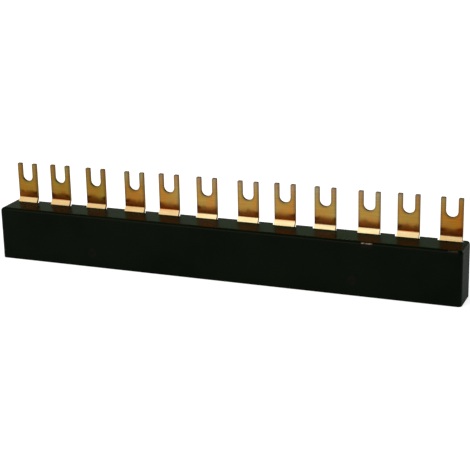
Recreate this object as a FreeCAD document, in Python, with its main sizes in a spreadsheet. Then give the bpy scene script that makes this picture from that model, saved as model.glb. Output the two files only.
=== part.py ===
# Three-phase comb busbar for a row of three-pole switching devices.
# A slim moulded housing, open at the back and closed by a cover, holds three one-piece copper combs.
# Each comb serves one phase: a flat bar on edge with a slotted fork for every device.
# The necks of the combs are cranked, so that all forks come out in one row along the back of the top.
# Frame in millimetres: X along the bar, +Y to the back, +Z up, origin under the middle of the housing.
import FreeCAD, Part
import math
import os

import Sketcher
from FreeCAD import Placement, Rotation, Vector

SIZES = {
    # housing
    "housing_depth": 12.4,
    "housing_height": 19.75,
    "wall": 1.5,
    "ledge": 0.8,
    "edge_radius": 1.35,
    "rear_corner_radius": 1.0,
    "bottom_edge_radius": 0.2,
    "front_rib_width": 1.2,
    "front_rib_height": 1.6,
    "front_rib_count": 8,
    "gate_mark_spacing": 100.0,
    "gate_mark_height": 5.5,
    "gate_mark_radius": 0.85,
    "gate_stub_radius": 0.35,
    "gate_mark_depth": 0.15,
    # back cover
    "cover_thickness": 1.5,
    "cover_gap": 0.1,
    "cover_corner_radius": 1.0,
    "cover_edge_chamfer": 0.25,
    "cover_rib": 0.5,
    # row of forks
    "device_pitch": 45.0,
    "device_count": 4,
    "first_to_second": 14.0,
    "second_to_third": 15.0,
    "left_end_gap": 0.1,
    "right_end_gap": 0.3,
    # combs
    "copper_thickness": 1.1,
    "neck_room": 8.2,
    "bend_radius": 0.35,
    "exit_angle": 33.0,
    "exit_rise_1": 1.6,
    "exit_rise_2": 1.83,
    "exit_rise_3": 1.35,
    "crank_angle": 65.0,
    "crank_start": 0.9,
    # forks
    "fork_width": 7.8,
    "fork_rise_1": 14.8,
    "fork_rise_2": 15.05,
    "fork_rise_3": 14.95,
    "slot_width": 4.4,
    "slot_depth": 6.9,
    "tip_radius": 0.25,
    # notches in the top, where the necks come out
    "notch_front_gap": 0.06,
    "notch_left_gap": 1.0,
    "notch_right_gap": 0.06,
    "relief_width": 0.7,
    "relief_lip": 0.6,
    # insulating strips between the combs
    "strip_gap": 0.05,
    "strip_headroom": 0.2,
}

# Numbers of the points of a line or arc in a sketch
START = 1
END = 2
CENTRE = 3
ORIGIN = -1

# Room by which a cut runs past the material, and the lesser room of a leaning cut
CLEAR = 5.0
LEANING_CLEAR = 1.0

PHASES = 3
PARTS_FOLDER = "parts"


def size(name):
    """A driving size, as it is written in an expression."""
    return f"Sizes.{name}"


# Places that several pieces share, written with the driving sizes
CAVITY_MARGIN = "(Sizes.wall + Sizes.ledge)"
COMB_LENGTH = "((Sizes.device_count - 1) * Sizes.device_pitch + Sizes.fork_width)"
FORK_OFFSETS = ["0", "Sizes.first_to_second", "(Sizes.first_to_second + Sizes.second_to_third)"]
ROW_LENGTH = f"({COMB_LENGTH} + {FORK_OFFSETS[-1]})"
LENGTH = f"({ROW_LENGTH} + Sizes.left_end_gap + Sizes.right_end_gap + 2 * {CAVITY_MARGIN})"
HALF_LENGTH = f"({LENGTH} / 2)"
HALF_DEPTH = "(Sizes.housing_depth / 2)"
TOP = "Sizes.housing_height"
FLOOR = CAVITY_MARGIN
CEILING = f"({TOP} - {CAVITY_MARGIN})"
FRONT_WALL_INSIDE = f"(Sizes.wall - {HALF_DEPTH})"
COVER_INSIDE = f"({HALF_DEPTH} - Sizes.cover_thickness)"
FRONT_PLANE = f"({FRONT_WALL_INSIDE} + Sizes.front_rib_height + Sizes.copper_thickness / 2)"
REAR_PLANE = f"({COVER_INSIDE} - Sizes.cover_rib - Sizes.copper_thickness / 2)"
COMB_SPACING = f"(({REAR_PLANE} - {FRONT_PLANE}) / {PHASES - 1})"
BAR_TOP = f"({TOP} - Sizes.neck_room)"
BLADE = f"({HALF_DEPTH} - Sizes.copper_thickness / 2)"


def comb_plane(phase):
    """Middle plane of a comb's bar: the third comb lies at the back and the first at the front."""
    return f"({REAR_PLANE} - {PHASES - 1 - phase} * {COMB_SPACING})"


def exit_rise(phase):
    """Height above the housing at which the inner side of a neck's last bend starts."""
    return size(f"exit_rise_{phase + 1}")


def knee(phase):
    """Height at which the middle lines of a comb's sloping neck and upright forks meet."""
    half_bend = "Sizes.copper_thickness / 2 * tan(Sizes.exit_angle / 2 * 1 deg)"
    return f"({TOP} + {exit_rise(phase)} - {half_bend})"


def tip(phase):
    """Height of the tips of a comb's forks."""
    return f"({TOP} + {size(f'fork_rise_{phase + 1}')})"


def heel(phase):
    """Height at which a comb's neck starts to leave the plane of its bar."""
    if phase == 0:
        return f"({BAR_TOP} + Sizes.crank_start)"
    climb = f"({BLADE} - {comb_plane(phase)}) / tan(Sizes.exit_angle * 1 deg)"
    middle_radius = "(Sizes.bend_radius + Sizes.copper_thickness / 2)"
    return f"({knee(phase)} - {climb} - {middle_radius} * tan(Sizes.exit_angle / 2 * 1 deg))"


def comb_left(phase):
    """Left end of a comb, flush with the left edge of its first fork."""
    return f"({CAVITY_MARGIN} + Sizes.left_end_gap - {HALF_LENGTH} + {FORK_OFFSETS[phase]})"


def fill_sheet(document):
    """The spreadsheet with one named cell for each driving size."""
    sheet = document.addObject("Spreadsheet::Sheet", "Sizes")
    for row, (name, value) in enumerate(SIZES.items(), 1):
        sheet.set(f"A{row}", name.replace("_", " "))
        sheet.set(f"B{row}", str(value))
        sheet.setAlias(f"B{row}", name)
    document.recompute()
    return sheet


def number(expression):
    """The value that an expression has now, for a sketch's first guess."""
    value = document.getObject("Sizes").evalExpression(expression)
    return float(getattr(value, "Value", value))


def new_body(document, name):
    """An empty body whose label names its file."""
    body = document.addObject("PartDesign::Body", name)
    body.Label = name
    return body


def new_sketch(body, name, role, offset="0"):
    """A sketch on one of the body's own origin planes, moved along the plane's normal."""
    sketch = body.newObject("Sketcher::SketchObject", name)
    plane = next(item for item in body.Origin.OriginFeatures if item.Role == role)
    sketch.AttachmentSupport = (plane, [""])
    sketch.MapMode = "FlatFace"
    sketch.setExpression(".AttachmentOffset.Base.z", offset)
    return sketch


def dimension(sketch, kind, elements, expression, factor=1.0):
    """A dimension bound to an expression."""
    index = sketch.addConstraint(Sketcher.Constraint(kind, *elements, number(expression) * factor))
    sketch.setExpression(f"Constraints[{index}]", expression)


def place_point(sketch, geometry, point, across, up):
    """Two dimensions that place a point from the sketch's origin."""
    dimension(sketch, "DistanceX", (ORIGIN, START, geometry, point), across)
    dimension(sketch, "DistanceY", (ORIGIN, START, geometry, point), up)


def add_lines(sketch, corners, closed=True):
    """Lines from corner to corner, joined where they meet, and back to the first corner if closed."""
    points = [Vector(across, up, 0) for across, up in corners]
    following = points[1:] + points[:1] if closed else points[1:]
    lines = [sketch.addGeometry(Part.LineSegment(a, b)) for a, b in zip(points, following)]
    for line, after in zip(lines, lines[1:] + lines[:1] if closed else lines[1:]):
        sketch.addConstraint(Sketcher.Constraint("Coincident", line, END, after, START))
    return lines


def level_and_upright(sketch, lines):
    """Lines that run level and upright by turns, the first of them level."""
    for index, line in enumerate(lines):
        sketch.addConstraint(Sketcher.Constraint("Vertical" if index % 2 else "Horizontal", line))


def add_rectangle(sketch, left, bottom, right, top):
    """An upright rectangle given by the expressions of its sides."""
    x = [number(left), number(right)]
    y = [number(bottom), number(top)]
    lines = add_lines(sketch, [(x[0], y[0]), (x[1], y[0]), (x[1], y[1]), (x[0], y[1])])
    level_and_upright(sketch, lines)
    place_point(sketch, lines[0], START, left, bottom)
    place_point(sketch, lines[2], START, right, top)


def add_circle(sketch, across, up, radius):
    """A circle placed from the sketch's origin."""
    circle = Part.Circle(Vector(number(across), number(up), 0), Vector(0, 0, 1), number(radius))
    index = sketch.addGeometry(circle)
    dimension(sketch, "Radius", (index,), radius)
    place_point(sketch, index, CENTRE, across, up)


def pad(body, sketch, length, backwards=False):
    """A pad of a sketch along its normal, or against it."""
    feature = body.newObject("PartDesign::Pad", f"{sketch.Name}_pad")
    feature.Profile = sketch
    feature.Reversed = backwards
    feature.setExpression("Length", length)
    sketch.Visibility = False
    document.recompute()
    return feature


def pocket(body, sketch, length=None, backwards=False):
    """A pocket to a given depth, or through everything on both sides of its sketch."""
    before = body.Shape.Volume
    feature = body.newObject("PartDesign::Pocket", f"{sketch.Name}_pocket")
    feature.Profile = sketch
    if length is None:
        feature.Type = "ThroughAll"
        feature.SideType = "Symmetric"
    else:
        feature.Reversed = backwards
        feature.setExpression("Length", length)
    document.recompute()
    if body.Shape.Volume >= before:
        raise RuntimeError(f"{feature.Name} cuts nothing")
    return feature


def repeat_along(body, feature, sketch, axis, pitch, count):
    """Copies of a feature at an even pitch along an axis of its sketch."""
    pattern = body.newObject("PartDesign::LinearPattern", f"{feature.Name}_row")
    pattern.Originals = [feature]
    pattern.Direction = (sketch, [axis])
    pattern.Mode = "Spacing"
    pattern.setExpression("Offset", pitch)
    pattern.setExpression("Occurrences", count)
    body.Tip = pattern
    document.recompute()
    return pattern


def edges_where(shape, test):
    """Names of the edges whose two ends both pass a test."""
    names = []
    for index, edge in enumerate(shape.Edges, 1):
        ends = [vertex.Point for vertex in edge.Vertexes]
        if len(ends) == 2 and test(*ends):
            names.append(f"Edge{index}")
    return names


def round_edges(body, name, base, edges, radius):
    """A fillet on named edges of a feature."""
    feature = body.newObject("PartDesign::Fillet", name)
    feature.Base = (base, edges)
    feature.setExpression("Radius", radius)
    document.recompute()
    return feature


def same(a, b):
    """Whether two lengths are equal to within a thousandth of a millimetre."""
    return abs(a - b) < 1e-3


# Housing

def add_corner_waste(sketch, side):
    """What is cut off an upright corner at the back: a quarter round inside and four lines outside."""
    radius = size("rear_corner_radius")
    centre = [f"({side} * ({HALF_LENGTH} - {radius}))", f"({HALF_DEPTH} - {radius})"]
    outside = [f"({side} * ({HALF_LENGTH} + {CLEAR}))", f"({HALF_DEPTH} + {CLEAR})"]
    x, y = (number(place) for place in centre)
    far, high = (number(place) for place in outside)
    reach = number(radius)
    first = 0 if side > 0 else math.pi / 2
    circle = Part.Circle(Vector(x, y, 0), Vector(0, 0, 1), reach)
    arc = sketch.addGeometry(Part.ArcOfCircle(circle, first, first + math.pi / 2))
    corners = [(x + side * reach, y), (far, y), (far, high), (x, high), (x, y + reach)]
    lines = add_lines(sketch, corners, closed=False)
    level_and_upright(sketch, lines)
    at_end, at_back = (START, END) if side > 0 else (END, START)
    sketch.addConstraint(Sketcher.Constraint("Coincident", arc, at_end, lines[0], START))
    sketch.addConstraint(Sketcher.Constraint("Coincident", arc, at_back, lines[-1], END))
    sketch.addConstraint(Sketcher.Constraint("Horizontal", arc, CENTRE, arc, at_end))
    sketch.addConstraint(Sketcher.Constraint("Vertical", arc, CENTRE, arc, at_back))
    dimension(sketch, "Radius", (arc,), radius)
    place_point(sketch, arc, CENTRE, *centre)
    place_point(sketch, lines[1], END, *outside)


def housing_block(body):
    """The outer block. Its top edge stays sharp along the open back, and all others are rounded.

    The back corners are cut round after the outer edges, whose rounding would else run on round them.
    """
    outline = new_sketch(body, "housing_outline", "XY_Plane")
    add_rectangle(outline, f"-{HALF_LENGTH}", f"-{HALF_DEPTH}", HALF_LENGTH, HALF_DEPTH)
    block = pad(body, outline, TOP)
    back = number(HALF_DEPTH)
    outer = edges_where(block.Shape, lambda a, b: min(a.y, b.y) < back and max(a.z, b.z) > 0)
    round_edges(body, "outer_edges", block, outer, size("edge_radius"))
    rear_corners = new_sketch(body, "rear_corners", "XY_Plane")
    for side in (1, -1):
        add_corner_waste(rear_corners, side)
    rounded = pocket(body, rear_corners)
    foot = edges_where(rounded.Shape, lambda a, b: same(a.z, 0) and same(b.z, 0))
    round_edges(body, "bottom_edges", rounded, foot, size("bottom_edge_radius"))


def housing_hollow(body):
    """The seat of the cover, cut in from the back, and the deeper cavity that its ledge runs round."""
    seat = new_sketch(body, "cover_seat", "XZ_Plane", f"-{HALF_DEPTH}")
    wall = size("wall")
    add_rectangle(seat, f"{wall} - {HALF_LENGTH}", wall, f"{HALF_LENGTH} - {wall}", f"{TOP} - {wall}")
    pocket(body, seat, size("cover_thickness"), backwards=True)
    cavity = new_sketch(body, "cavity", "XZ_Plane", f"-{HALF_DEPTH}")
    end = f"{HALF_LENGTH} - {CAVITY_MARGIN}"
    add_rectangle(cavity, f"{CAVITY_MARGIN} - {HALF_LENGTH}", FLOOR, end, CEILING)
    pocket(body, cavity, f"{size('housing_depth')} - {wall}", backwards=True)


def row_of_ribs(body, name, offset, height, backwards):
    """Upright ribs as high as the bars, spread evenly along the inside of a wall."""
    pitch = f"({LENGTH} / {size('front_rib_count')})"
    first = f"({pitch} / 2 - {HALF_LENGTH})"
    half_rib = f"{size('front_rib_width')} / 2"
    rib = new_sketch(body, name, "XZ_Plane", offset)
    add_rectangle(rib, f"{first} - {half_rib}", FLOOR, f"{first} + {half_rib}", BAR_TOP)
    repeat_along(body, pad(body, rib, height, backwards), rib, "H_Axis", pitch, size("front_rib_count"))


def cut_notches(body, name, phase, left, right, back):
    """One cut for each fork of a comb: its front face leans with the neck, and it is open at the top."""
    section = new_sketch(body, name, "YZ_Plane", left)
    lean = f"tan({size('exit_angle')} * 1 deg)"
    neck_front = f"({HALF_DEPTH} - {size('copper_thickness')})"
    top_front = f"({neck_front} - {exit_rise(phase)} * {lean} - {size('notch_front_gap')})"
    low_front = f"({top_front} - {CAVITY_MARGIN} * {lean})"
    high_front = f"({top_front} + {LEANING_CLEAR} * {lean})"
    high = f"({TOP} + {LEANING_CLEAR})"
    places = [(low_front, CEILING), (back, CEILING), (back, high), (high_front, high)]
    lines = add_lines(section, [(number(across), number(up)) for across, up in places])
    for line, (across, up) in zip(lines, places):
        place_point(section, line, START, across, up)
    feature = pocket(body, section, f"{right} - {left}", backwards=True)
    repeat_along(body, feature, section, "N_Axis", size("device_pitch"), size("device_count"))


def housing_notches(body):
    """A row of notches for each comb, open at the back, each with a relief that a lip closes there.

    The very first notch stops at the end wall.
    """
    for phase in range(PHASES):
        left = f"({comb_left(phase)} - {size('notch_left_gap')})"
        if phase == 0:
            left = f"max({left}; {CAVITY_MARGIN} - {HALF_LENGTH})"
        right = f"({comb_left(phase)} + {size('fork_width')} + {size('notch_right_gap')})"
        cut_notches(body, f"notch_{phase + 1}", phase, left, right, f"({HALF_DEPTH} + {CLEAR})")
        relief_end = f"({right} + {size('relief_width')})"
        lip = f"({HALF_DEPTH} - {size('relief_lip')})"
        cut_notches(body, f"relief_{phase + 1}", phase, right, relief_end, lip)


def gate_marks(body):
    """Two moulding gate marks on the front: a shallow ring round a small stub."""
    marks = new_sketch(body, "gate_marks", "XZ_Plane", HALF_DEPTH)
    for side in ("-", ""):
        across = f"{side}{size('gate_mark_spacing')} / 2"
        add_circle(marks, across, size("gate_mark_height"), size("gate_mark_radius"))
        add_circle(marks, across, size("gate_mark_height"), size("gate_stub_radius"))
    pocket(body, marks, size("gate_mark_depth"))


def make_housing(document):
    """The moulded housing, open at the back."""
    body = new_body(document, "housing")
    housing_block(body)
    housing_hollow(body)
    row_of_ribs(body, "front_rib", f"-{FRONT_WALL_INSIDE}", size("front_rib_height"), backwards=True)
    housing_notches(body)
    gate_marks(body)
    return body


# Back cover

def make_cover(document):
    """The cover that closes the back, with ribs that press on the rear comb."""
    body = new_body(document, "back_cover")
    margin = f"({size('wall')} + {size('cover_gap')})"
    plate = new_sketch(body, "cover_plate", "XZ_Plane", f"-{HALF_DEPTH}")
    right = f"{HALF_LENGTH} - {margin}"
    add_rectangle(plate, f"{margin} - {HALF_LENGTH}", margin, right, f"{TOP} - {margin}")
    plate_pad = pad(body, plate, size("cover_thickness"))
    corners = edges_where(plate_pad.Shape, lambda a, b: same(a.x, b.x) and same(a.z, b.z))
    rounded = round_edges(body, "cover_corners", plate_pad, corners, size("cover_corner_radius"))
    back = number(HALF_DEPTH)
    rim = edges_where(rounded.Shape, lambda a, b: same(a.y, back) and same(b.y, back))
    bevel = body.newObject("PartDesign::Chamfer", "cover_rim")
    bevel.Base = (rounded, rim)
    bevel.setExpression("Size", size("cover_edge_chamfer"))
    document.recompute()
    row_of_ribs(body, "cover_rib", f"-{COVER_INSIDE}", size("cover_rib"), backwards=False)
    return body


# Combs

def neck_runs(phase):
    """Lean of each straight run of a comb's section, in degrees from level, from the bar to the fork."""
    slope = f"90 - {size('exit_angle')}"
    if phase == 0:
        return ["90", f"90 - {size('crank_angle')}", slope, "90"]
    return ["90", slope, "90"]


def neck_corners(phase):
    """Corners of the section's middle line, from the bottom of the bar to the tip of the fork."""
    lean = math.radians(number(size("exit_angle")))
    plane = number(comb_plane(phase))
    blade = number(BLADE)
    bend = number(knee(phase))
    if phase == 0:
        crank = math.radians(number(size("crank_angle")))
        radius = number(size("bend_radius")) + number(size("copper_thickness")) / 2
        corner = number(heel(phase)) + radius * math.tan(crank / 2)
        # Where the steep run, rising from its corner, meets the last sloping run
        lift = (bend - corner) * math.tan(lean) - (blade - plane)
        run = lift / (math.cos(crank) * math.tan(lean) - math.sin(crank))
        meet = (plane + run * math.sin(crank), corner + run * math.cos(crank))
        bends = [(plane, corner), meet, (blade, bend)]
    else:
        bends = [(plane, bend - (blade - plane) / math.tan(lean)), (blade, bend)]
    return [(plane, number(FLOOR)), *bends, (blade, number(tip(phase)))]


def strip_side(sketch, corners, offset):
    """One surface of a bent strip: lines and arcs at a distance to the left of its middle line.

    At each corner the arc's centre lies on the inner side, off the corner by the bend's middle radius
    over the cosine of half the turn. Returns the lines and, for each arc, its number, turn and ends.
    """
    middle_radius = number(size("bend_radius")) + number(size("copper_thickness")) / 2
    points = [Vector(*corner, 0) for corner in corners]
    along = [(b - a).normalize() for a, b in zip(points, points[1:])]
    left = [Vector(-direction.y, direction.x, 0) for direction in along]
    ends = [points[0] + left[0] * offset]
    arcs = []
    for corner, before, after in zip(points[1:-1], left, left[1:]):
        turn = math.copysign(1, before.x * after.y - before.y * after.x)
        centre = corner + (before + after) * (turn * middle_radius / (1 + before.dot(after)))
        radius = middle_radius - turn * offset
        touch = [centre - side * (turn * radius) for side in (before, after)]
        ends += touch
        angles = [math.atan2((p - centre).y, (p - centre).x) for p in touch]
        first, last = angles if turn > 0 else reversed(angles)
        circle = Part.Circle(centre, Vector(0, 0, 1), radius)
        arcs.append((sketch.addGeometry(Part.ArcOfCircle(circle, first, last)), turn))
    ends.append(points[-1] + left[-1] * offset)
    lines = [sketch.addGeometry(Part.LineSegment(a, b)) for a, b in zip(ends[::2], ends[1::2])]
    for (arc, turn), before, after in zip(arcs, lines, lines[1:]):
        first, last = (START, END) if turn > 0 else (END, START)
        sketch.addConstraint(Sketcher.Constraint("Tangent", before, END, arc, first))
        sketch.addConstraint(Sketcher.Constraint("Tangent", arc, last, after, START))
    return lines, arcs


def comb_section(sketch, phase):
    """Closed section of a comb: bar, cranked neck and fork, all of one thickness."""
    corners = neck_corners(phase)
    half = number(size("copper_thickness")) / 2
    front, front_arcs = strip_side(sketch, corners, half)
    back, back_arcs = strip_side(sketch, corners, -half)
    inner = size("bend_radius")
    outer = f"{inner} + {size('copper_thickness')}"
    for (front_arc, turn), (back_arc, _) in zip(front_arcs, back_arcs):
        sketch.addConstraint(Sketcher.Constraint("Coincident", front_arc, CENTRE, back_arc, CENTRE))
        dimension(sketch, "Radius", (front_arc,), inner if turn > 0 else outer)
        dimension(sketch, "Radius", (back_arc,), outer if turn > 0 else inner)
    for line in (front[0], front[-1], back[0], back[-1]):
        sketch.addConstraint(Sketcher.Constraint("Vertical", line))
    for line, lean in list(zip(front, neck_runs(phase)))[1:-1]:
        dimension(sketch, "Angle", (line,), lean, math.pi / 180)
    for a, b, point in ((front[0], back[0], START), (front[-1], back[-1], END)):
        ends = [sketch.getPoint(line, point) for line in (a, b)]
        cap = sketch.addGeometry(Part.LineSegment(*ends))
        sketch.addConstraint(Sketcher.Constraint("Coincident", cap, START, a, point))
        sketch.addConstraint(Sketcher.Constraint("Coincident", cap, END, b, point))
        sketch.addConstraint(Sketcher.Constraint("Horizontal", cap))
    place_point(sketch, front[0], START, f"{comb_plane(phase)} - {size('copper_thickness')} / 2", FLOOR)
    place_point(sketch, front[-1], END, f"{HALF_DEPTH} - {size('copper_thickness')}", tip(phase))
    last_centre = f"{TOP} + {exit_rise(phase)} + {inner} * tan({size('exit_angle')} / 2 * 1 deg)"
    dimension(sketch, "DistanceY", (ORIGIN, START, front_arcs[-1][0], CENTRE), last_centre)
    if phase == 0:
        dimension(sketch, "DistanceY", (ORIGIN, START, front_arcs[0][0], CENTRE), heel(phase))


def add_slot(sketch, middle, tips, top):
    """The outline of a fork's slot: a half round at the bottom and open past the tips."""
    half = f"{size('slot_width')} / 2"
    centre_height = f"({tips} - {size('slot_depth')} + {half})"
    x, y = number(middle), number(centre_height)
    radius = number(half)
    circle = Part.Circle(Vector(x, y, 0), Vector(0, 0, 1), radius)
    arc = sketch.addGeometry(Part.ArcOfCircle(circle, math.pi, 2 * math.pi))
    high = number(top)
    corners = [(x + radius, y), (x + radius, high), (x - radius, high), (x - radius, y)]
    right, lid, left = add_lines(sketch, corners, closed=False)
    sketch.addConstraint(Sketcher.Constraint("Tangent", arc, END, right, START))
    sketch.addConstraint(Sketcher.Constraint("Tangent", left, END, arc, START))
    sketch.addConstraint(Sketcher.Constraint("Horizontal", lid))
    sketch.addConstraint(Sketcher.Constraint("Vertical", right))
    sketch.addConstraint(Sketcher.Constraint("Vertical", left))
    dimension(sketch, "Radius", (arc,), half)
    place_point(sketch, arc, CENTRE, middle, centre_height)
    dimension(sketch, "DistanceY", (ORIGIN, START, lid, START), top)


def make_comb(document, phase):
    """One phase: a bent strip as long as the comb, cut away between the forks and slotted."""
    body = new_body(document, f"comb_l{phase + 1}")
    left = comb_left(phase)
    tips = tip(phase)
    past_tip = f"({tips} + {CLEAR})"
    section = new_sketch(body, f"comb_section_{phase + 1}", "YZ_Plane", left)
    comb_section(section, phase)
    pad(body, section, COMB_LENGTH)
    window = new_sketch(body, f"window_{phase + 1}", "XZ_Plane")
    next_fork = f"{left} + {size('device_pitch')}"
    add_rectangle(window, f"{left} + {size('fork_width')}", BAR_TOP, next_fork, past_tip)
    gaps = f"{size('device_count')} - 1"
    repeat_along(body, pocket(body, window), window, "H_Axis", size("device_pitch"), gaps)
    slot = new_sketch(body, f"slot_{phase + 1}", "XZ_Plane")
    add_slot(slot, f"{left} + {size('fork_width')} / 2", tips, past_tip)
    count = size("device_count")
    slots = repeat_along(body, pocket(body, slot), slot, "H_Axis", size("device_pitch"), count)
    top = number(tips)
    corners = edges_where(slots.Shape, lambda a, b: same(a.x, b.x) and same(a.z, top) and same(b.z, top))
    round_edges(body, f"tips_{phase + 1}", slots, corners, size("tip_radius"))
    return body


# Insulating strips

def make_strip(document, name, phase):
    """A plain insulating strip that stands between a comb and the next one behind it."""
    strip = document.addObject("Part::Box", name)
    strip.Label = name
    gap = size("strip_gap")
    strip.setExpression("Length", f"{LENGTH} - 2 * {CAVITY_MARGIN} - 2 * {gap}")
    strip.setExpression("Width", f"{COMB_SPACING} - {size('copper_thickness')} - 2 * {gap}")
    strip.setExpression("Height", f"{heel(phase)} - {size('strip_headroom')} - {FLOOR}")
    front = f"{comb_plane(phase)} + {size('copper_thickness')} / 2 + {gap}"
    strip.setExpression(".Placement.Base.x", f"{CAVITY_MARGIN} + {gap} - {HALF_LENGTH}")
    strip.setExpression(".Placement.Base.y", front)
    strip.setExpression(".Placement.Base.z", FLOOR)
    document.recompute()
    return strip


def check(document, pieces):
    """Stop before anything is written if a feature or a piece failed."""
    failed = [item.Name for item in document.Objects if {"Invalid", "Error"} & set(item.State)]
    if failed:
        raise RuntimeError(f"failed features: {failed}")
    for piece in pieces:
        if piece.Shape.isNull() or not piece.Shape.isValid() or len(piece.Shape.Solids) != 1:
            raise RuntimeError(f"{piece.Label} isn't one valid solid")


document = FreeCAD.newDocument("comb_busbar")
fill_sheet(document)
pieces = [make_housing(document), make_cover(document)]
pieces += [make_comb(document, phase) for phase in range(PHASES)]
pieces.append(make_strip(document, "insulating_strip_front", 0))
pieces.append(make_strip(document, "insulating_strip_rear", 1))
document.recompute()
check(document, pieces)
os.makedirs(PARTS_FOLDER, exist_ok=True)
for piece in pieces:
    piece.Shape.exportStep(f"{PARTS_FOLDER}/{piece.Label}.step")
    print(piece.Label, "volume", round(piece.Shape.Volume, 2))
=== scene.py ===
import math

import bpy
from mathutils import Matrix, Vector


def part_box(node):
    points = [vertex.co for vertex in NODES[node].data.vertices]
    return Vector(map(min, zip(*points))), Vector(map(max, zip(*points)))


# A three-phase comb busbar on a plain pale floor: black moulded housing, copper forks.
# Metres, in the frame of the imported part: X along the bar, +Y to the back, +Z up.
# The patterns and masks of the materials are in millimetres.

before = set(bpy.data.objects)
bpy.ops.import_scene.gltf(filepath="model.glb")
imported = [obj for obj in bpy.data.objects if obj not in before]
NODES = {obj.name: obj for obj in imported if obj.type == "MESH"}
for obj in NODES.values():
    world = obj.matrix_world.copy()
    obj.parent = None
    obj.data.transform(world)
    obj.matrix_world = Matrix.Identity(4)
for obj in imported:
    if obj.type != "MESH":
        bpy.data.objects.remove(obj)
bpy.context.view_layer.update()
MM = 0.001

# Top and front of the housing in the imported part, in millimetres
HOUSING_LOW, HOUSING_HIGH = (Vector(corner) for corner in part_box("housing"))
TOP = HOUSING_HIGH.z / MM
FRONT = HOUSING_LOW.y / MM


# Node helpers

# Places of the factor, the two colours and the result among the sockets of a Mix node
MIX_FACTOR, MIX_FIRST, MIX_SECOND, MIX_RESULT = 0, 6, 7, 2


def feed(tree, socket, value):
    """Give an input another node's socket, or a plain value."""
    if isinstance(value, bpy.types.NodeSocket):
        tree.links.new(value, socket)
    else:
        socket.default_value = value


def put(tree, kind, settings=None, **inputs):
    """A node of one kind. An input is named with underscores, or with i and its number."""
    node = tree.nodes.new("ShaderNode" + kind)
    for name, value in (settings or {}).items():
        setattr(node, name, value)
    for name, value in inputs.items():
        numbered = name[0] == "i" and name[1:].isdigit()
        feed(tree, node.inputs[int(name[1:]) if numbered else name.replace("_", " ")], value)
    return node


def maths(tree, operation, *values):
    """The result of a Math node."""
    inputs = {f"i{index}": value for index, value in enumerate(values)}
    return put(tree, "Math", {"operation": operation}, **inputs).outputs[0]


def add_up(tree, base, parts):
    """A base value plus every mask times its own amount."""
    total = base
    for mask, amount in parts:
        total = maths(tree, "MULTIPLY_ADD", mask, amount, total)
    return total


def fade(tree, value, start, end, low=0.0, high=1.0):
    """A smooth step of a value from low at start to high at end."""
    settings = {"interpolation_type": "SMOOTHSTEP"}
    node = put(tree, "MapRange", settings, Value=value, From_Min=start, From_Max=end, To_Min=low, To_Max=high)
    return node.outputs["Result"]


def band(tree, value, middle, half_width, softness):
    """One inside a band around a middle value, and zero outside it."""
    distance = maths(tree, "ABSOLUTE", maths(tree, "SUBTRACT", value, middle))
    return fade(tree, distance, half_width, half_width + softness, 1.0, 0.0)


def blend(tree, factor, first, second, mode="MIX"):
    """Two colours mixed by a factor."""
    node = put(tree, "Mix", {"data_type": "RGBA", "blend_type": mode})
    feed(tree, node.inputs[MIX_FACTOR], factor)
    for place, colour in ((MIX_FIRST, first), (MIX_SECOND, second)):
        feed(tree, node.inputs[place], (*colour, 1.0) if isinstance(colour, tuple) else colour)
    return node.outputs[MIX_RESULT]


def tinted(tree, factor, colour, tint):
    """A colour multiplied by a tint as far as the factor says."""
    return blend(tree, factor, colour, tint, "MULTIPLY")


def grey(tree, value):
    """A grey colour of one value."""
    return put(tree, "CombineColor", Red=value, Green=value, Blue=value).outputs[0]


def new_group(name, inputs):
    """An empty node group that puts out one value. Its inputs are (name, kind, default)."""
    group = bpy.data.node_groups.new(name, "ShaderNodeTree")
    for label, kind, default in inputs:
        socket = group.interface.new_socket(label, in_out="INPUT", socket_type="NodeSocket" + kind)
        if default is not None:
            socket.default_value = default
    group.interface.new_socket("Value", in_out="OUTPUT", socket_type="NodeSocketFloat")
    entry = group.nodes.new("NodeGroupInput")
    leave = group.nodes.new("NodeGroupOutput")
    return group, entry.outputs, leave.inputs["Value"]


def use_group(tree, group, **inputs):
    """The value of a placed group with its own inputs."""
    node = tree.nodes.new("ShaderNodeGroup")
    node.node_tree = group
    for name, value in inputs.items():
        feed(tree, node.inputs[name], value)
    return node.outputs["Value"]


def new_material(name):
    """An empty material: its nodes, shader, object coordinates in millimetres, and normal."""
    material = bpy.data.materials.new(name)
    material.use_nodes = True
    tree = material.node_tree
    tree.nodes.clear()
    shader = put(tree, "BsdfPrincipled")
    put(tree, "OutputMaterial", Surface=shader.outputs[0])
    coordinates = put(tree, "TexCoord").outputs
    place = put(tree, "VectorMath", {"operation": "SCALE"}, Vector=coordinates["Object"], Scale=1 / MM)
    return material, tree, shader, place.outputs[0], coordinates["Normal"]


def dress_shader(tree, shader, colour, rough, relief, strength, depth):
    """Give a shader its colour, its roughness, and a fine relief of some strength and depth."""
    feed(tree, shader.inputs["Base Color"], colour)
    feed(tree, shader.inputs["Roughness"], rough)
    bump = put(tree, "Bump", Strength=strength, Distance=depth * MM, Height=relief)
    feed(tree, shader.inputs["Normal"], bump.outputs[0])


# Effects that several materials share

EVEN = (1.0, 1.0, 1.0)
NOISE_MIDDLE = 0.5
LINE_DETAIL = 1.0
# Patches that keep their scratches: scale per millimetre, detail, and the noise at which they are full
PATCH_SCALE = 0.23
PATCH_DETAIL = 2.0
PATCH_FULL = 0.9


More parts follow.
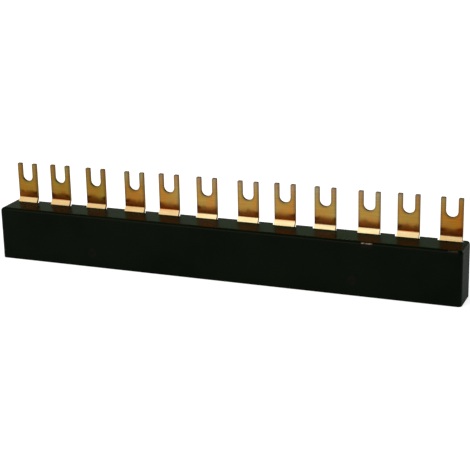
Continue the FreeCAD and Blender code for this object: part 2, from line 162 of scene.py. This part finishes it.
def make_cloud_group():
    """Soft blotches: fractal noise on stretched coordinates, pulled apart round its middle value."""
    group, entry, leave = new_group("soft_clouds", (
        ("Place", "Vector", None),
        ("Stretch", "Vector", EVEN),
        ("Scale", "Float", 1.0),
        ("Detail", "Float", 2.0),
        ("Contrast", "Float", 1.0),
    ))
    stretched = put(group, "VectorMath", {"operation": "MULTIPLY"}, i0=entry["Place"], i1=entry["Stretch"])
    noise = put(group, "TexNoise", Vector=stretched.outputs[0], Scale=entry["Scale"], Detail=entry["Detail"])
    centred = maths(group, "SUBTRACT", noise.outputs["Fac"], NOISE_MIDDLE)
    spread = maths(group, "MULTIPLY_ADD", centred, entry["Contrast"], NOISE_MIDDLE)
    feed(group, leave, put(group, "Clamp", Value=spread).outputs[0])
    return group


def make_scuff_group():
    """Fine scratches: the lines where a stretched noise has its middle value, kept in some patches."""
    group, entry, leave = new_group("fine_scuffs", (
        ("Place", "Vector", None),
        ("Stretch", "Vector", EVEN),
        ("Scale", "Float", 1.0),
        ("Width", "Float", 0.02),
        ("Cover", "Float", 0.4),
    ))
    stretched = put(group, "VectorMath", {"operation": "MULTIPLY"}, i0=entry["Place"], i1=entry["Stretch"])
    noise = put(group, "TexNoise", Vector=stretched.outputs[0], Scale=entry["Scale"], Detail=LINE_DETAIL)
    distance = maths(group, "ABSOLUTE", maths(group, "SUBTRACT", noise.outputs["Fac"], NOISE_MIDDLE))
    thin = put(group, "MapRange", Value=distance, From_Max=entry["Width"], To_Min=1.0, To_Max=0.0)
    patches = put(group, "TexNoise", Vector=entry["Place"], Scale=PATCH_SCALE, Detail=PATCH_DETAIL)
    bare = maths(group, "SUBTRACT", 1.0, entry["Cover"])
    kept = put(group, "MapRange", Value=patches.outputs["Fac"], From_Min=bare, From_Max=PATCH_FULL)
    feed(group, leave, maths(group, "MULTIPLY", thin.outputs["Result"], kept.outputs["Result"]))
    return group


CLOUDS = make_cloud_group()
SCUFFS = make_scuff_group()


def clouds(tree, place, pattern):
    """Soft blotches of one pattern: stretch along X, Y and Z, scale per millimetre, detail, contrast."""
    stretch, scale, detail, contrast = pattern
    return use_group(
        tree, CLOUDS, Place=place, Stretch=stretch, Scale=scale, Detail=detail, Contrast=contrast
    )


def scratches(tree, place, pattern):
    """Fine scratches of one pattern: stretch along X, Y and Z, scale per millimetre, width, cover."""
    stretch, scale, width, cover = pattern
    return use_group(tree, SCUFFS, Place=place, Stretch=stretch, Scale=scale, Width=width, Cover=cover)


# Copper

# Colours: the patina runs from deep orange to olive, the necks are a pale painted highlight and the cut edges
# dark
COPPER_DEEP = (0.33, 0.140, 0.012)
COPPER_OLIVE = (0.28, 0.188, 0.026)
COPPER_DEEP_BRIGHT = (0.44, 0.222, 0.037)
COPPER_OLIVE_BRIGHT = (0.38, 0.275, 0.064)
# The pale neck colours are a painted highlight: the bright mirror image of the lamp in the sloping necks.
PAINTED_NECK_HIGHLIGHT = (0.358, 0.266, 0.135)
PAINTED_NECK_HIGHLIGHT_BRIGHT = (0.445, 0.403, 0.248)
COPPER_SHEARED = (0.20, 0.11, 0.035)

# Tints that multiply those colours
BLUSH_TINT = (1.14, 0.86, 0.75)
# Painted reflection: the blade above the bend is made darker and redder where it mirrors the black housing
# top.
DARK_REFLECTION_TINT = (0.76, 0.38, 0.24)
SPOT_TINT = (0.84, 0.76, 0.72)
TIP_TINT = (0.99, 1.08, 2.00)
# Painted reflection: a thin darker line within the dark band above the bend.
DARK_REFLECTION_LINE_TINT = (0.36, 0.27, 0.26)
RIM_TINT = (0.58, 0.72, 1.20)
STREAK_TINT = (0.98, 0.86, 0.78)
GRAZING_TINT = (0.70, 0.45, 0.20, 1.0)

# Patterns of the blotches and scratches
PATINA_CLOUDS = ((1.0, 1.0, 0.7), 0.11, 3.0, 3.0)
BLUSH_CLOUDS = ((1.0, 1.0, 0.5), 0.33, 2.0, 3.5)
WAVER_CLOUDS = ((0.8, 1.0, 0.3), 0.4, 1.5, 2.0)
SPOT_CLOUDS = ((0.6, 1.0, 1.6), 0.8, 3.0, 3.0)
DARK_REFLECTION_LINE_CLOUDS = ((1.0, 1.0, 0.4), 0.25, 1.0, 3.0)
STREAK_CLOUDS = ((0.15, 1.0, 1.4), 1.1, 2.0, 4.0)
GRAIN_CLOUDS = ((0.06, 1.0, 1.6), 2.2, 3.0, 2.0)
COPPER_SCRATCHES = ((0.25, 1.0, 1.0), 1.4, 0.02, 0.55)

# The stretch of the bar where the copper is brighter, for the upright blades and for the painted
# highlight of the necks: middle, half length and fade along X
BRIGHT_BLADES = (20.0, 32.0, 42.0)
BRIGHT_NECK_HIGHLIGHT = (26.0, 24.0, 36.0)

# Where a neck bends into the upright blade, and how far down its pale painted highlight fades in
NECK_TOP = TOP + 1.9
NECK_FADE = 0.5
# The painted dark reflection of the housing top reaches from the bend up to a wavy edge
TINT_TOP = NECK_TOP + 3.8
TINT_WAVER = 1.6
# Heights at which the dark spots end and are full
SPOT_HEIGHTS = (NECK_TOP + 2.4, NECK_TOP + 1.0)
# The thin line of painted dark reflection above the bend: height, half width and fade
DARK_REFLECTION_LINE = (NECK_TOP + 1.7, 0.2, 0.9)
# Its strength by the distance from a rim, and by its own blotches: start, end, low and high
DARK_REFLECTION_LINE_SIDES = (2.8, 0.9, 0.4, 1.0)
DARK_REFLECTION_LINE_BREAKS = (0.1, 0.7, 0.25, 1.0)

# The forks of a comb, with the width of their darker rims and the length of their paler tips
DEVICE_PITCH = 45.0
FORK_WIDTH = 7.8
SLOT_WIDTH = 4.4
SLOT_DEPTH = 6.9
RIM_WIDTH = 1.0
RIM_FULL = 0.1
RIM_WAVER = 0.25
PALER_TIPS = 5.5

# A surface is a sheared edge where the front and back part of its normal falls from one to the other
SHEARED_FACING = (0.45, 0.3)
# How much the grain lightens and darkens, in all
GRAIN_SHADE = 0.32

# Roughness of clean copper, and what grain, scratches, sheared edges and the band of painted dark reflection
# add to it
COPPER_ROUGHNESS = 0.16
GRAIN_ROUGHNESS = 0.08
SCUFF_ROUGHNESS = 0.15
SHEARED_ROUGHNESS = 0.2
TINT_ROUGHNESS = 0.08
# Relief: depth of the scratches against the grain, strength, and depth in millimetres
COPPER_SCRATCH_DEPTH = 0.6
COPPER_RELIEF = (0.12, 0.02)


def distance_to_rim(tree, left, tip, along, height):
    """How far a place on a fork lies from its nearest side, tip or slot edge."""
    past_left = maths(tree, "FLOORED_MODULO", maths(tree, "SUBTRACT", along, left), DEVICE_PITCH)
    from_middle = maths(tree, "ABSOLUTE", maths(tree, "SUBTRACT", past_left, FORK_WIDTH / 2))
    slot_centre = tip - SLOT_DEPTH + SLOT_WIDTH / 2
    below_centre = maths(tree, "MINIMUM", maths(tree, "SUBTRACT", height, slot_centre), 0.0)
    squares = maths(tree, "MULTIPLY_ADD", from_middle, from_middle, maths(tree, "POWER", below_centre, 2.0))
    to_slot = maths(tree, "SUBTRACT", maths(tree, "SQRT", squares), SLOT_WIDTH / 2)
    to_side = maths(tree, "SUBTRACT", FORK_WIDTH / 2, from_middle)
    to_tip = maths(tree, "SUBTRACT", tip, height)
    return maths(tree, "MINIMUM", maths(tree, "MINIMUM", to_slot, to_side), to_tip)


def patina_colour(tree, place, along, blush):
    """Copper between deep orange and olive, brighter along a stretch of the bar, with redder blushes."""
    patina = clouds(tree, place, PATINA_CLOUDS)
    dull = blend(tree, patina, COPPER_DEEP, COPPER_OLIVE)
    clear = blend(tree, patina, COPPER_DEEP_BRIGHT, COPPER_OLIVE_BRIGHT)
    colour = blend(tree, band(tree, along, *BRIGHT_BLADES), dull, clear)
    return tinted(tree, blush, colour, BLUSH_TINT)


def painted_neck_highlight(tree, place, along):
    """The painted highlight of the necks: pale copper, with streaks along the bar."""
    pale = blend(tree, band(tree, along, *BRIGHT_NECK_HIGHLIGHT), PAINTED_NECK_HIGHLIGHT, PAINTED_NECK_HIGHLIGHT_BRIGHT)
    return tinted(tree, clouds(tree, place, STREAK_CLOUDS), pale, STREAK_TINT)


def dark_reflection_line_mask(tree, place, height, inward, waver):
    """A thin line of painted dark reflection above the bend, stronger near the sides of a fork and broken
    into patches.
    """
    line = band(tree, maths(tree, "ADD", waver, height), *DARK_REFLECTION_LINE)
    sides = fade(tree, inward, *DARK_REFLECTION_LINE_SIDES)
    breaks = fade(tree, clouds(tree, place, DARK_REFLECTION_LINE_CLOUDS), *DARK_REFLECTION_LINE_BREAKS)
    return maths(tree, "MULTIPLY", maths(tree, "MULTIPLY", sides, line), breaks)


def make_copper(name, left, tip):
    """Rolled and stamped copper of a comb with its left end and its tips at these places.

    It has grain along the bar, a thin uneven patina, darker rims and sheared edges, a painted dark reflection
    above the bend and a painted highlight on the necks.
    """
    material, tree, shader, place, normal = new_material(name)
    along, _, height = put(tree, "SeparateXYZ", Vector=place).outputs
    facing = put(tree, "SeparateXYZ", Vector=normal).outputs["Y"]
    grain = clouds(tree, place, GRAIN_CLOUDS)
    scuffs = scratches(tree, place, COPPER_SCRATCHES)
    blush = clouds(tree, place, BLUSH_CLOUDS)
    waver = maths(tree, "SUBTRACT", clouds(tree, place, WAVER_CLOUDS), NOISE_MIDDLE)
    inward = distance_to_rim(tree, left, tip, along, height)
    rim_waver = maths(tree, "SUBTRACT", blush, NOISE_MIDDLE)
    wavy_inward = maths(tree, "MULTIPLY_ADD", rim_waver, -RIM_WAVER, inward)
    # Painted reflection: the mask of the darker, redder band above the bend where the blade mirrors the
    # housing top.
    tint = fade(tree, maths(tree, "MULTIPLY_ADD", waver, TINT_WAVER, height), TINT_TOP, NECK_TOP)
    spots = maths(tree, "MULTIPLY", fade(tree, height, *SPOT_HEIGHTS), clouds(tree, place, SPOT_CLOUDS))
    sheared = fade(tree, maths(tree, "ABSOLUTE", facing), *SHEARED_FACING)
    marks = (
        (tint, DARK_REFLECTION_TINT),
        (spots, SPOT_TINT),
        (fade(tree, height, tip - PALER_TIPS, tip), TIP_TINT),
        # The thin line of painted dark reflection above the bend.
        (dark_reflection_line_mask(tree, place, height, inward, waver), DARK_REFLECTION_LINE_TINT),
        (fade(tree, wavy_inward, RIM_WIDTH, RIM_FULL), RIM_TINT),
    )
    colour = patina_colour(tree, place, along, blush)
    for mask, mark_tint in marks:
        colour = tinted(tree, mask, colour, mark_tint)
    # The necks take the pale colour as a painted highlight of the lamp they mirror.
    neck_highlight_mask = fade(tree, height, NECK_TOP, NECK_TOP - NECK_FADE)
    colour = blend(tree, neck_highlight_mask, colour, painted_neck_highlight(tree, place, along))
    colour = blend(tree, sheared, colour, COPPER_SHEARED)
    shade = maths(tree, "MULTIPLY_ADD", grain, GRAIN_SHADE, 1.0 - GRAIN_SHADE / 2)
    colour = tinted(tree, 1.0, colour, grey(tree, shade))
    rough = add_up(tree, COPPER_ROUGHNESS, (
        (grain, GRAIN_ROUGHNESS),
        (scuffs, SCUFF_ROUGHNESS),
        (sheared, SHEARED_ROUGHNESS),
        (tint, TINT_ROUGHNESS),
    ))
    relief = maths(tree, "MULTIPLY_ADD", scuffs, -COPPER_SCRATCH_DEPTH, grain)
    dress_shader(tree, shader, colour, rough, relief, *COPPER_RELIEF)
    shader.inputs["Metallic"].default_value = 1.0
    shader.inputs["Specular Tint"].default_value = GRAZING_TINT
    return material


# Moulded plastic

PLASTIC_DARK = (0.0006, 0.0025, 0.0003)
PLASTIC_LIGHT = (0.0017, 0.0048, 0.0011)
# Painted sheen: the end faces get a lighter, greener colour that stands in for their grazing reflection.
PLASTIC_END_PAINTED_SHEEN = (0.0045, 0.011, 0.004)
PLASTIC_IOR = 1.12
SMUDGE_CLOUDS = (EVEN, 0.06, 4.0, 2.5)
MOULD_CLOUDS = (EVEN, 3.0, 2.0, 1.0)
PLASTIC_SCRATCHES = ((0.3, 1.0, 1.0), 0.9, 0.012, 0.5)
# A face counts as the end or the top where that part of its normal rises from one to the other
FACING = (0.85, 0.98)
# Roughness of clean plastic, and what smudges, the end faces and the top add to it
PLASTIC_ROUGHNESS = 0.22
SMUDGE_ROUGHNESS = 0.12
END_ROUGHNESS = 0.31
TOP_ROUGHNESS = 0.02
PLASTIC_SCRATCH_DEPTH = 0.5
MOULDED_RELIEF = (0.1, 0.03)

# The depth behind the front that its marks reach, and their fade
FRONT_EDGE = (1.2, 0.2)
# Blotches that break the marks up, and what they leave of a rub mark: start, end, low and high
BREAK_CLOUDS = ((1.0, 2.0, 2.0), 1.2, 2.0, 4.0)
RUB_BREAKS = (0.1, 0.6, 0.2, 1.0)
# Rub marks along the rounded top front edge: middle, half length, depth below the top, strength
RUBS = ((55.3, 1.6, 0.48, 1.0), (85.0, 1.3, 0.35, 0.12))
RUB_END_FADE = 0.6
# Half height and fade of the bright line, and of the dull smear a little below it
RUB_LINE = (0.1, 0.12)
RUB_SMEAR = (0.6, 0.7)
RUB_SMEAR_DROP = 0.6
RUB_LINE_COLOUR = (0.34, 0.25, 0.18)
RUB_SMEAR_COLOUR = (0.008, 0.005, 0.0035)
# Reddish spots at the two moulding marks: place, flattening, squared radii where a spot ends and
# is full, and what the blotches leave of it
GATE_X = 50.0
GATE_HEIGHT = 5.5
GATE_FLATTENING = 0.8
GATE_SQUARES = (3.0, 0.8)
GATE_BREAKS = (0.0, 0.5, 0.4, 1.0)
GATE_COLOUR = (0.0058, 0.0052, 0.0036)


def add_front_marks(tree, place, colour):
    """The rub marks of the top front edge and the spots at the moulding marks."""
    x, y, z = put(tree, "SeparateXYZ", Vector=place).outputs
    front_edge = band(tree, y, FRONT, *FRONT_EDGE)
    broken = clouds(tree, place, BREAK_CLOUDS)
    from_gate = maths(tree, "SUBTRACT", maths(tree, "ABSOLUTE", x), GATE_X)
    above_gate = maths(tree, "MULTIPLY", maths(tree, "SUBTRACT", z, GATE_HEIGHT), GATE_FLATTENING)
    squares = maths(tree, "MULTIPLY_ADD", from_gate, from_gate, maths(tree, "POWER", above_gate, 2.0))
    spot = maths(tree, "MULTIPLY", fade(tree, squares, *GATE_SQUARES), fade(tree, broken, *GATE_BREAKS))
    colour = blend(tree, maths(tree, "MULTIPLY", spot, front_edge), colour, GATE_COLOUR)
    kept = maths(tree, "MULTIPLY", fade(tree, broken, *RUB_BREAKS), front_edge)
    for middle, half_length, depth, strength in RUBS:
        line = band(tree, z, TOP - depth, *RUB_LINE)
        smear = band(tree, z, TOP - depth - RUB_SMEAR_DROP, *RUB_SMEAR)
        rub = maths(tree, "MULTIPLY", band(tree, x, middle, half_length, RUB_END_FADE), kept)
        rub = maths(tree, "MULTIPLY", rub, strength)
        colour = blend(tree, maths(tree, "MULTIPLY", rub, smear), colour, RUB_SMEAR_COLOUR)
        colour = blend(tree, maths(tree, "MULTIPLY", rub, line), colour, RUB_LINE_COLOUR)
    return colour


def make_plastic(name, marked):
    """Black moulded plastic with a slight green cast: fine grain, smudges, light scuffs and a painted sheen
    on the end faces.
    """
    material, tree, shader, place, normal = new_material(name)
    smudges = clouds(tree, place, SMUDGE_CLOUDS)
    grain = clouds(tree, place, MOULD_CLOUDS)
    scuffs = scratches(tree, place, PLASTIC_SCRATCHES)
    facing = put(tree, "SeparateXYZ", Vector=normal).outputs
    end_face = fade(tree, maths(tree, "ABSOLUTE", facing["X"]), *FACING)
    top_face = fade(tree, facing["Z"], *FACING)
    colour = blend(tree, smudges, PLASTIC_DARK, PLASTIC_LIGHT)
    # Painted sheen on the end faces.
    colour = blend(tree, end_face, colour, PLASTIC_END_PAINTED_SHEEN)
    if marked:
        colour = add_front_marks(tree, place, colour)
    rough = add_up(tree, PLASTIC_ROUGHNESS, (
        (smudges, SMUDGE_ROUGHNESS),
        (scuffs, SCUFF_ROUGHNESS),
        (end_face, END_ROUGHNESS),
        (top_face, TOP_ROUGHNESS),
    ))
    relief = maths(tree, "MULTIPLY_ADD", scuffs, -PLASTIC_SCRATCH_DEPTH, grain)
    dress_shader(tree, shader, colour, rough, relief, *MOULDED_RELIEF)
    shader.inputs["IOR"].default_value = PLASTIC_IOR
    return material


# Insulating strips

INSULATION_DARK = (0.50, 0.48, 0.43)
INSULATION_LIGHT = (0.60, 0.58, 0.53)
MOTTLE_CLOUDS = (EVEN, 0.4, 3.0, 2.0)
INSULATION_CLOUDS = (EVEN, 4.0, 1.0, 1.0)
INSULATION_ROUGHNESS = 0.55
MOTTLE_ROUGHNESS = 0.15


def make_insulation():
    """Matt cream plastic strip with a slight mottle."""
    material, tree, shader, place, _ = new_material("insulating_strip")
    mottle = clouds(tree, place, MOTTLE_CLOUDS)
    colour = blend(tree, mottle, INSULATION_DARK, INSULATION_LIGHT)
    rough = add_up(tree, INSULATION_ROUGHNESS, ((mottle, MOTTLE_ROUGHNESS),))
    dress_shader(tree, shader, colour, rough, clouds(tree, place, INSULATION_CLOUDS), *MOULDED_RELIEF)
    return material


def dress_nodes():
    """Every node of the part gets its finish, and each comb its own copper."""
    finishes = {
        "housing": make_plastic("moulded_housing", True),
        "back_cover": make_plastic("moulded_cover", False),
    }
    insulation = make_insulation()
    for name, piece in NODES.items():
        low, high = (Vector(corner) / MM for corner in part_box(name))
        if name.startswith("comb"):
            finish = make_copper("rolled_copper_" + name[-2:], low.x, high.z)
        else:
            finish = finishes.get(name, insulation)
        for slot in piece.material_slots:
            slot.material = finish


# Floor

FLOOR_SIZE = 8.0
FLOOR_DROP = 0.02 * MM
FLOOR_COLOUR = 0.8
# Glow that the floor has for the camera, and in mirror images
FLOOR_LIFT = 0.62
FLOOR_MIRROR_LIFT = 0.35
WHITE = (1.0, 1.0, 1.0, 1.0)


def seen_directly(tree):
    """One for camera, mirror and glass rays, and zero for the rays that light the object."""
    path = put(tree, "LightPath").outputs
    seen = maths(tree, "MAXIMUM", path["Is Camera Ray"], path["Is Glossy Ray"])
    return maths(tree, "MAXIMUM", seen, path["Is Transmission Ray"])


def make_floor():
    """A plain pale floor just below the part, which shows white and keeps the shadow."""
    mesh = bpy.data.meshes.new("floor")
    half = FLOOR_SIZE / 2
    corners = [(x, y, -FLOOR_DROP) for x, y in ((-half, -half), (half, -half), (half, half), (-half, half))]
    mesh.from_pydata(corners, [], [(0, 1, 2, 3)])
    floor = bpy.data.objects.new("floor", mesh)
    bpy.context.scene.collection.objects.link(floor)
    material = bpy.data.materials.new("pale_floor")
    material.use_nodes = True
    tree = material.node_tree
    tree.nodes.clear()
    diffuse = put(tree, "BsdfDiffuse", Color=(FLOOR_COLOUR, FLOOR_COLOUR, FLOOR_COLOUR, 1.0))
    camera = put(tree, "LightPath").outputs["Is Camera Ray"]
    mirrored = maths(tree, "MULTIPLY", seen_directly(tree), FLOOR_MIRROR_LIFT)
    glow = maths(tree, "MULTIPLY_ADD", camera, FLOOR_LIFT - FLOOR_MIRROR_LIFT, mirrored)
    lift = put(tree, "Emission", Color=WHITE, Strength=glow)
    both = put(tree, "AddShader", i0=diffuse.outputs[0], i1=lift.outputs[0])
    put(tree, "OutputMaterial", Surface=both.outputs[0])
    mesh.materials.append(material)


# World

# The light that falls on the object from all round
WORLD_COLOUR = (0.55, 0.55, 0.55)
# What shows directly and in mirror images: a backdrop, a low and a high ceiling, and a warm wall
BACKDROP_COLOUR = (1.0, 1.0, 1.0)
LOW_CEILING_COLOUR = (0.13, 0.25, 0.035)
HIGH_CEILING_COLOUR = (0.25, 0.31, 0.18)
WARM_WALL_COLOUR = (1.45, 0.62, 0.33)
# Sines of the heights above the horizon between which they turn into each other
BACKDROP_ENDS = math.sin(math.radians(8.0))
LOW_CEILING_STARTS = math.sin(math.radians(14.0))
LOW_CEILING_ENDS = math.sin(math.radians(24.0))
HIGH_CEILING_STARTS = math.sin(math.radians(36.0))
# The warm wall stands low in front on the left: cosines of the angles where it ends and is full
WARM_WALL_TOWARDS = Vector((-0.36, -0.88, 0.30)).normalized()
WARM_WALL_ENDS = math.cos(math.radians(25.0))
WARM_WALL_FULL = math.cos(math.radians(14.0))


def make_world():
    """Soft light from all round, seen as a white backdrop that fades to a dim ceiling."""
    world = bpy.data.worlds.new("studio")
    bpy.context.scene.world = world
    world.use_nodes = True
    tree = world.node_tree
    tree.nodes.clear()
    direction = put(tree, "TexCoord").outputs["Generated"]
    rise = put(tree, "SeparateXYZ", Vector=direction).outputs["Z"]
    upward = fade(tree, rise, BACKDROP_ENDS, LOW_CEILING_STARTS)
    higher = fade(tree, rise, LOW_CEILING_ENDS, HIGH_CEILING_STARTS)
    towards = put(tree, "VectorMath", {"operation": "DOT_PRODUCT"}, i0=direction, i1=WARM_WALL_TOWARDS)
    warm = fade(tree, towards.outputs["Value"], WARM_WALL_ENDS, WARM_WALL_FULL)
    ceiling = blend(tree, higher, LOW_CEILING_COLOUR, HIGH_CEILING_COLOUR)
    shown = blend(tree, upward, BACKDROP_COLOUR, blend(tree, warm, ceiling, WARM_WALL_COLOUR))
    colour = blend(tree, seen_directly(tree), WORLD_COLOUR, shown)
    background = put(tree, "Background", Color=colour, Strength=1.0)
    put(tree, "OutputWorld", Surface=background.outputs[0])


# Lamp

SOFTBOX_TOWARDS = Vector((-0.36, -0.63, 0.69))
SOFTBOX_DISTANCE = 1.1
SOFTBOX_SIZE = (1.1, 0.6)
SOFTBOX_POWER = 4.7
SOFTBOX_COLOUR = (1.0, 0.99, 0.97)


def make_softbox():
    """One large soft lamp, high in front on the left, which the sloping necks of the forks mirror."""
    lamp = bpy.data.lights.new("softbox", "AREA")
    lamp.shape = "RECTANGLE"
    lamp.size, lamp.size_y = SOFTBOX_SIZE
    lamp.energy = SOFTBOX_POWER
    lamp.color = SOFTBOX_COLOUR
    light = bpy.data.objects.new("softbox", lamp)
    bpy.context.scene.collection.objects.link(light)
    light.location = SOFTBOX_TOWARDS.normalized() * SOFTBOX_DISTANCE
    light.rotation_euler = SOFTBOX_TOWARDS.to_track_quat("Z", "Y").to_euler()
    light.visible_camera = False


# Camera, turned, tipped and rolled in radians

CAMERA_PLACE = Vector((0.1766, -0.4285, 0.16029))
CAMERA_YAW = 0.3815
CAMERA_PITCH = 0.3032
CAMERA_ROLL = -0.0226
CAMERA_LENS = 103.4
SENSOR_WIDTH = 36.0
CAMERA_NEAR = 0.01
CAMERA_FAR = 20.0


def make_camera():
    """The photograph's view, from the front right and a little above."""
    forward = Vector((
        -math.sin(CAMERA_YAW) * math.cos(CAMERA_PITCH),
        math.cos(CAMERA_YAW) * math.cos(CAMERA_PITCH),
        -math.sin(CAMERA_PITCH),
    ))
    level = Vector((math.cos(CAMERA_YAW), math.sin(CAMERA_YAW), 0.0))
    upright = level.cross(forward)
    right = level * math.cos(CAMERA_ROLL) + upright * math.sin(CAMERA_ROLL)
    up = upright * math.cos(CAMERA_ROLL) - level * math.sin(CAMERA_ROLL)
    data = bpy.data.cameras.new("camera")
    data.lens = CAMERA_LENS
    data.sensor_width = SENSOR_WIDTH
    data.clip_start = CAMERA_NEAR
    data.clip_end = CAMERA_FAR
    camera = bpy.data.objects.new("camera", data)
    bpy.context.scene.collection.objects.link(camera)
    turn = Matrix((right, up, -forward)).transposed()
    camera.matrix_world = Matrix.Translation(CAMERA_PLACE) @ turn.to_4x4()
    bpy.context.scene.camera = camera


dress_nodes()
make_floor()
make_world()
make_softbox()
make_camera()
bpy.context.scene.view_settings.view_transform = "Standard"

bpy.context.view_layer.update()
